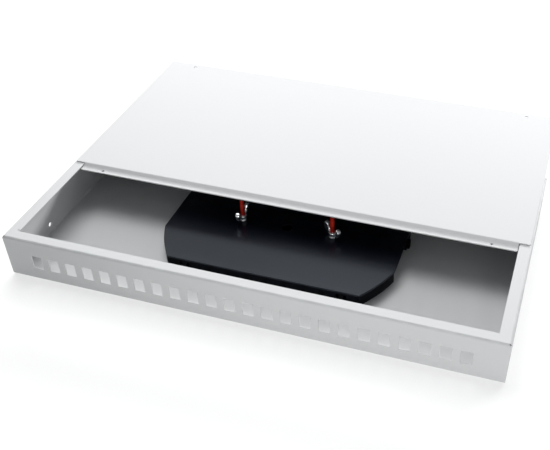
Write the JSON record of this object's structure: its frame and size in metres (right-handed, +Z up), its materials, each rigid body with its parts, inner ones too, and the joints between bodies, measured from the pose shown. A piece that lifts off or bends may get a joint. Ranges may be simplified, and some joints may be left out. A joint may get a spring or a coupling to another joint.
{
  "type": "fiber termination box",
  "caption": "Flat sheet-steel rack box with a row of adapter cut-outs, a sliding lid, a black splice tray on wing-nut studs and rear cable glands.",
  "frame": {"origin": "middle of the housing's underside", "axes": "+X to the right seen from the front, +Y to the rear, +Z up"},
  "size_m": [0.43, 0.3256, 0.043],
  "materials": {
    "powder_coat": "fine satin powder coat, light grey-white",
    "black_plastic": "smooth satin moulding",
    "bright_zinc": "bright plated casting",
    "zinc_steel": "zinc plated",
    "red_plastic": "smooth tube",
    "grey_nylon": "fine matt moulding",
    "black_rubber": "soft",
    "brass": "plain turned"
  },
  "bodies": {
    "box": {"housing": "powder_coat", "splice_tray": "black_plastic", "tray_cover": "black_plastic", "splice_holder_front": "black_plastic", "splice_holder_rear": "black_plastic", "stud_left": "zinc_steel", "spacer_nut_left": "zinc_steel", "washer_left": "zinc_steel", "stud_sleeve_left": "red_plastic", "gland_body_left": "grey_nylon", "gland_locknut_left": "grey_nylon", "gland_seal_left": "black_rubber", "anchor_bracket_left": "zinc_steel", "anchor_stud_left": "zinc_steel", "anchor_nut_left": "zinc_steel", "clamp_screw_left": "zinc_steel", "clamp_washer_left": "zinc_steel", "stud_right": "zinc_steel", "spacer_nut_right": "zinc_steel", "washer_right": "zinc_steel", "stud_sleeve_right": "red_plastic", "gland_body_right": "grey_nylon", "gland_locknut_right": "grey_nylon", "gland_seal_right": "black_rubber", "anchor_bracket_right": "zinc_steel", "anchor_stud_right": "zinc_steel", "anchor_nut_right": "zinc_steel", "clamp_screw_right": "zinc_steel", "clamp_washer_right": "zinc_steel", "earth_stud": "brass", "earth_washer": "brass", "earth_nut": "brass"},
    "lid": {"lid": "powder_coat"},
    "left_wing_nut": {"wing_nut_left": "bright_zinc"},
    "right_wing_nut": {"wing_nut_right": "bright_zinc"},
    "left_dome_nut": {"gland_dome_nut_left": "grey_nylon"},
    "right_dome_nut": {"gland_dome_nut_right": "grey_nylon"}
  },
  "joints": [
    {"name": "lid_slide", "type": "slide", "parent": "box", "child": "lid", "axis": [0, 1, 0], "range_m": [-0.1039, 0.0892]},
    {"name": "wing_nut_left_turn", "type": "hinge", "parent": "box", "child": "left_wing_nut", "pos_m": [-0.0427, 0.002, 0.0161], "axis": [0, 0, 1], "continuous": true},
    {"name": "wing_nut_right_turn", "type": "hinge", "parent": "box", "child": "right_wing_nut", "pos_m": [0.0427, 0.002, 0.0161], "axis": [0, 0, 1], "continuous": true},
    {"name": "dome_nut_left_turn", "type": "hinge", "parent": "box", "child": "left_dome_nut", "pos_m": [-0.15, 0.11, 0.0205], "axis": [0, 1, 0], "continuous": true},
    {"name": "dome_nut_right_turn", "type": "hinge", "parent": "box", "child": "right_dome_nut", "pos_m": [0.15, 0.11, 0.0205], "axis": [0, 1, 0], "continuous": true}
  ]
}
